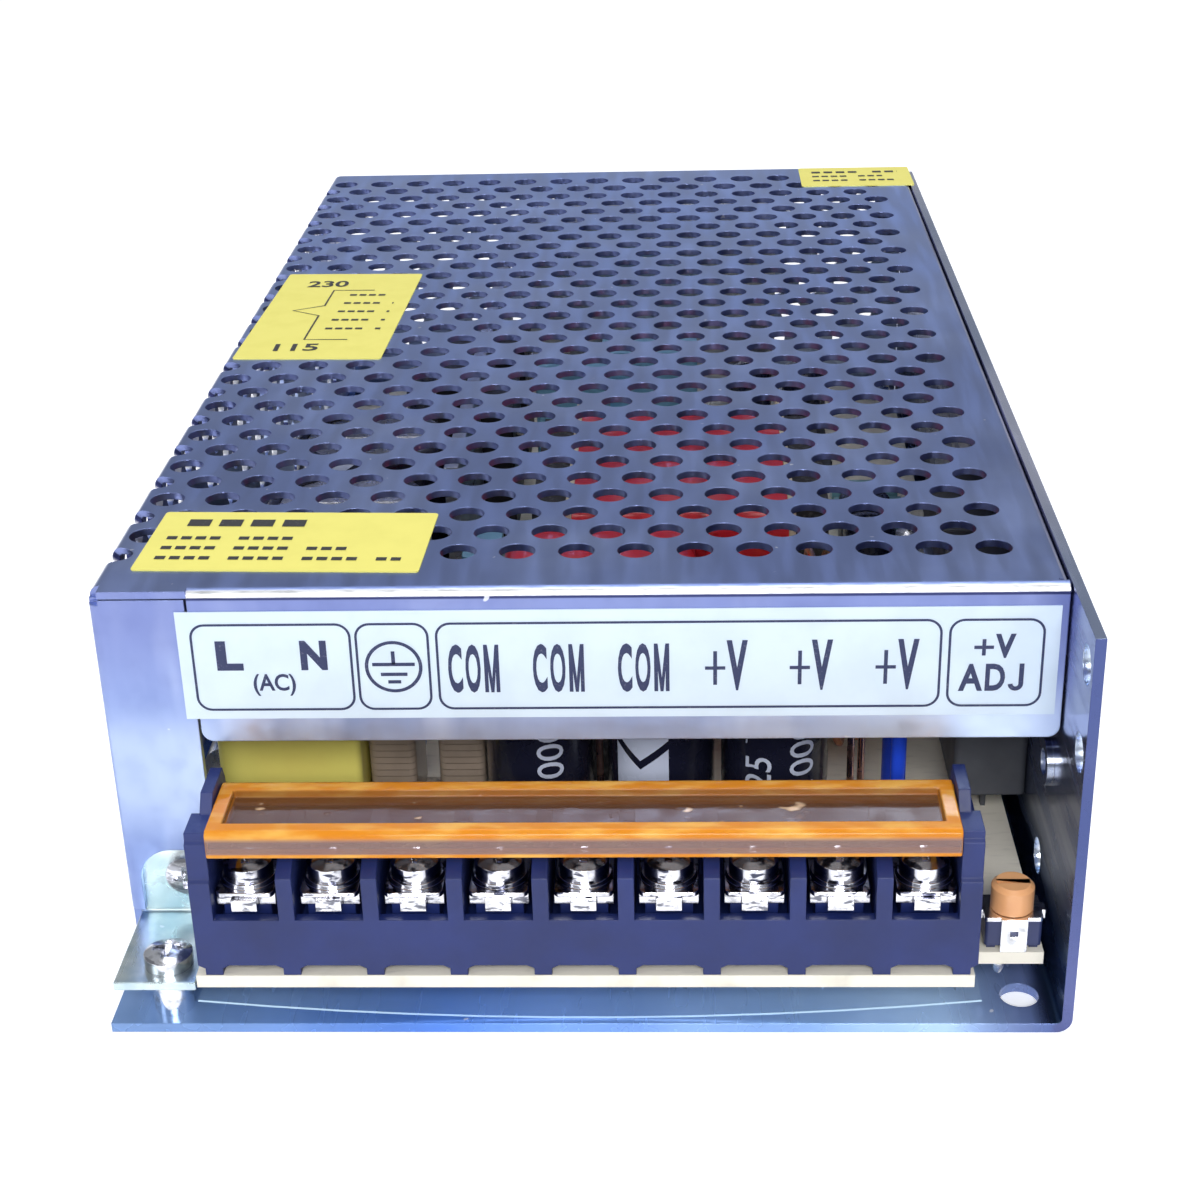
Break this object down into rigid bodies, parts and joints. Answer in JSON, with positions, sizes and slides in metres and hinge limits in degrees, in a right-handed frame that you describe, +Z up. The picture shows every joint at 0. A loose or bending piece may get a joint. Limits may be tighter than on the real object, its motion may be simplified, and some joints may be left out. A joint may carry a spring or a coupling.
{
  "type": "mesh case switching power supply",
  "caption": "Flat power supply in a perforated folded metal case with an open barrier terminal block, hinged clear cover and trim knob.",
  "frame": {"origin": "centre of the case's footprint, on the surface it stands on", "axes": "+X to the right seen from the terminal end, +Y from the terminals to the rear wall, +Z up"},
  "size_m": [0.11, 0.2006, 0.0501],
  "materials": {
    "zinc_sheet": "satin",
    "cover_sheet": "satin",
    "screw_steel": "bright",
    "clear_film": "glossy",
    "board": "matte",
    "block_plastic": "satin",
    "nickel": "bright",
    "amber_clear": "glossy",
    "black_plastic": "satin",
    "orange_plastic": "glossy",
    "label_white": "matte",
    "label_yellow": "matte",
    "yellow_plastic": "satin",
    "blue_ceramic": "satin",
    "fuse_glass": "glossy",
    "green_disc": "satin",
    "ferrite": "matte",
    "brown_winding": "satin",
    "can_sleeve": "glossy",
    "cream_plastic": "matte",
    "red_tape": "glossy",
    "core_paint": "satin",
    "copper_wire": "bright",
    "heatsink": "satin",
    "device_black": "satin",
    "grey_sleeve": "matte",
    "film_cap": "satin",
    "resistor": "satin",
    "blue_wire": "satin",
    "red_plastic": "satin"
  },
  "bodies": {
    "supply": {"chassis": "zinc_sheet", "mesh_cover": "cover_sheet", "cover_screws": "screw_steel", "insulating_film": "clear_film", "standoffs": "nickel", "board_screws": "screw_steel", "circuit_board": "board", "earth_bracket": "zinc_sheet", "bracket_screws": "screw_steel", "terminal_block": "block_plastic", "terminal_plates": "nickel", "clamp_washers": "nickel", "terminal_screws": "screw_steel", "adjuster_body": "black_plastic", "adjuster_bracket": "nickel", "terminal_label": "label_white", "front_sticker": "label_yellow", "side_sticker": "label_yellow", "rear_sticker": "label_yellow", "x_capacitor": "yellow_plastic", "y_capacitors": "blue_ceramic", "fuse_tube": "fuse_glass", "fuse_clips": "nickel", "thermistor": "green_disc", "filter_core": "ferrite", "filter_winding": "brown_winding", "bridge_rectifier": "device_black", "bulk_capacitors": "can_sleeve", "transformer_core": "ferrite", "transformer_bobbin": "cream_plastic", "transformer_winding": "red_tape", "driver_core": "ferrite", "driver_winding": "red_tape", "output_capacitors": "can_sleeve", "choke_core": "core_paint", "choke_winding": "copper_wire", "inner_heatsink": "heatsink", "rear_heatsink": "heatsink", "switching_transistors": "device_black", "output_rectifiers": "grey_sleeve", "device_clamp": "zinc_sheet", "device_screws": "screw_steel", "control_chips": "device_black", "film_capacitors": "film_cap", "small_capacitors": "can_sleeve", "power_resistors": "resistor", "sense_wire": "blue_wire", "tall_leads": "copper_wire", "selector_body": "black_plastic"},
    "terminal_flap": {"terminal_cover": "amber_clear"},
    "knob": {"adjuster_knob": "orange_plastic"},
    "slider": {"selector_slider": "red_plastic"}
  },
  "joints": [
    {"name": "terminal_cover_hinge", "type": "hinge", "parent": "supply", "child": "terminal_flap", "pos_m": [0, -0.0902, 0.0259], "axis": [-1, 0, 0], "range_deg": [0, 95]},
    {"name": "adjuster_turn", "type": "hinge", "parent": "supply", "child": "knob", "pos_m": [0.0485, -0.093, 0.014], "axis": [0, 0, 1], "range_deg": [-135, 135]},
    {"name": "selector_slide", "type": "slide", "parent": "supply", "child": "slider", "axis": [0, 1, 0], "range_m": [0, 0.006]}
  ]
}
